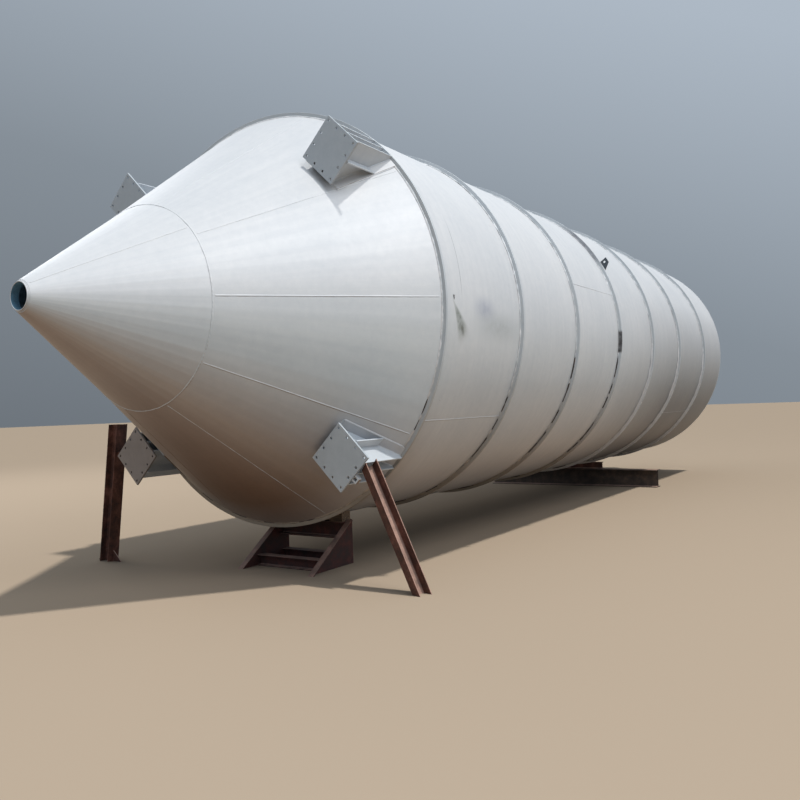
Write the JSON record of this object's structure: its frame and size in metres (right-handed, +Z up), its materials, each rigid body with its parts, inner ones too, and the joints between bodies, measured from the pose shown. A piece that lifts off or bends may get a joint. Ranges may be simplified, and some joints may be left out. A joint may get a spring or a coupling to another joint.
{
  "type": "cement silo",
  "caption": "Welded steel cement silo with conical hopper, stiffening rings and leg brackets, lying on workshop supports.",
  "frame": {"origin": "on the ground, below the middle of the whole length of the lying silo", "axes": "+X along the silo's axis from the hopper's outlet towards the roof, +Z up from the ground, -Y towards the side that the picture shows"},
  "size_m": [13.5932, 3.8477, 4.1822],
  "materials": {
    "silver_paint": "satin aluminium paint",
    "bare_steel": "unpainted plate",
    "rusty_steel": "rusted rolled section",
    "red_primer": "worn dark red primer",
    "timber": "rough sawn"
  },
  "bodies": {
    "root": {"outlet_pipe": "silver_paint", "lower_cone": "silver_paint", "upper_cone": "silver_paint", "shell_course_1": "silver_paint", "shell_course_2": "silver_paint", "shell_course_3": "silver_paint", "shell_course_4": "silver_paint", "shell_course_5": "silver_paint", "shell_course_6": "silver_paint", "shell_course_7": "silver_paint", "knuckle_ring": "silver_paint", "stiffener_ring_1": "silver_paint", "stiffener_ring_2": "silver_paint", "stiffener_ring_3": "silver_paint", "stiffener_ring_4": "silver_paint", "stiffener_ring_5": "silver_paint", "stiffener_ring_6": "silver_paint", "roof_plate": "silver_paint", "filter_collar": "silver_paint", "filter_cover": "silver_paint", "manhole_neck": "silver_paint", "manhole_cover": "silver_paint", "vent_spigot": "silver_paint", "base_plate_near_upper": "silver_paint", "bracket_pad_near_upper": "silver_paint", "bracket_webs_near_upper": "silver_paint", "base_plate_near_lower": "silver_paint", "bracket_pad_near_lower": "silver_paint", "bracket_webs_near_lower": "silver_paint", "base_plate_far_upper": "silver_paint", "bracket_pad_far_upper": "silver_paint", "bracket_webs_far_upper": "silver_paint", "base_plate_far_lower": "silver_paint", "bracket_pad_far_lower": "silver_paint", "bracket_webs_far_lower": "silver_paint", "bracket_sleeve": "silver_paint", "lifting_lug": "bare_steel", "rear_cross_beam": "red_primer", "rear_packing": "rusty_steel", "near_prop": "rusty_steel", "far_prop": "rusty_steel", "far_prop_tie": "rusty_steel", "stool_frame": "red_primer", "stool_beam": "red_primer", "stool_chock": "timber"}
  },
  "joints": []
}
